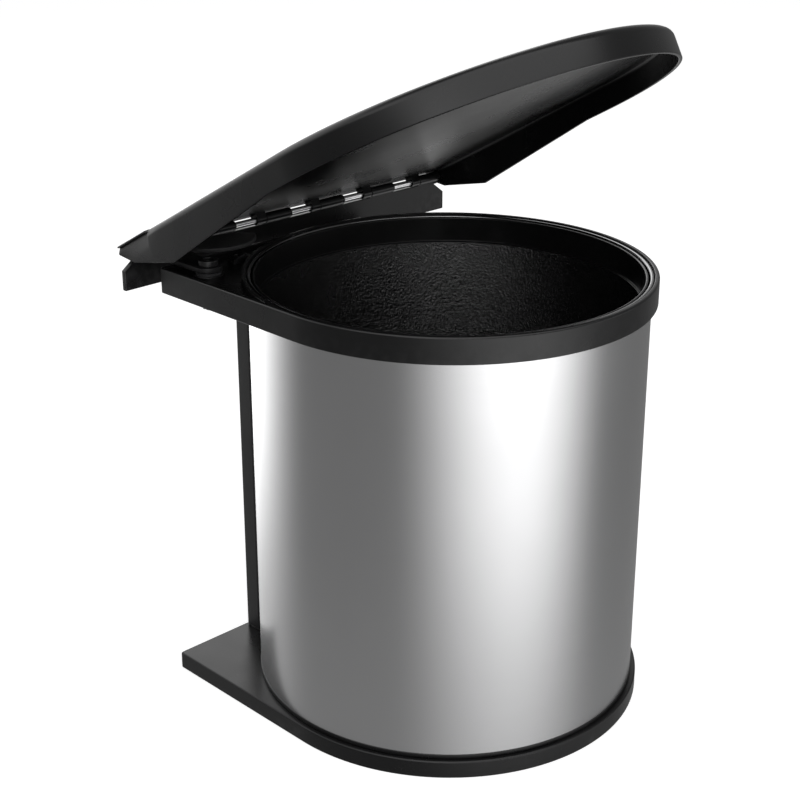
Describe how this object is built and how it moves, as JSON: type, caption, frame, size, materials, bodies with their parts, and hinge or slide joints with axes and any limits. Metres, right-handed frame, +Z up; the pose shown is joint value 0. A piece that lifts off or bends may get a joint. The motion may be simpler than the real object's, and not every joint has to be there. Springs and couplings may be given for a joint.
{
  "type": "swing-out cabinet bin",
  "caption": "Round steel bin in a D-shaped black frame that swings out on a wall bracket, with a hinged lid over a removable bucket.",
  "frame": {"origin": "on the floor under the can's axis", "axes": "+Z up along the can's axis, +Y towards the wall that the bracket is screwed to, -Y to the front"},
  "size_m": [0.2952, 0.2986, 0.4653],
  "materials": {
    "frame_plastic": "satin black moulding",
    "lid_plastic": "fine satin black moulding",
    "tube_paint": "black powder coat",
    "can_steel": "satin stainless sheet with a polished rolled rim",
    "pin_steel": "bright drawn pin",
    "screw_steel": "plain zinc plate",
    "bolt_steel": "black oxide",
    "bucket_plastic": "textured dark moulding with a smooth collar",
    "bush_plastic": "dark nylon"
  },
  "bodies": {
    "swing_frame": {"base_plate": "frame_plastic", "foot_ring": "frame_plastic", "foot_ring_screws": "screw_steel", "steel_can": "can_steel", "inner_bucket": "bucket_plastic", "top_ring": "frame_plastic", "upright_left": "tube_paint", "upright_right": "tube_paint", "tube_plugs": "frame_plastic", "upright_screws": "screw_steel", "pivot_bush": "bush_plastic", "lift_cam": "frame_plastic", "cam_screw": "screw_steel"},
    "wall_bracket": {"wall_strip": "frame_plastic", "pivot_arm": "tube_paint", "arm_screws": "screw_steel", "pivot_bolt": "bolt_steel", "pivot_washer": "screw_steel", "pivot_nut": "screw_steel", "hinge_pin": "pin_steel"},
    "lid_lifter": {"lift_flap": "frame_plastic"},
    "lid": {"lid_shell": "lid_plastic"}
  },
  "joints": [
    {"name": "frame_swing", "type": "hinge", "parent": "swing_frame", "child": "wall_bracket", "pos_m": [-0.117, 0.101, 0.29], "axis": [0, 0, 1], "range_deg": [0, 90]},
    {"name": "flap_lift", "type": "hinge", "parent": "wall_bracket", "child": "lid_lifter", "pos_m": [0, 0.15, 0.3064], "axis": [-1, 0, 0], "range_deg": [0, 20]},
    {"name": "lid_hinge", "type": "hinge", "parent": "lid_lifter", "child": "lid", "pos_m": [0, 0.15, 0.3064], "axis": [-1, 0, 0], "range_deg": [-28.87, 0]}
  ],
  "couplings": [
    {"joint": "flap_lift", "follows": "frame_swing", "ratio": 0.2222}
  ]
}
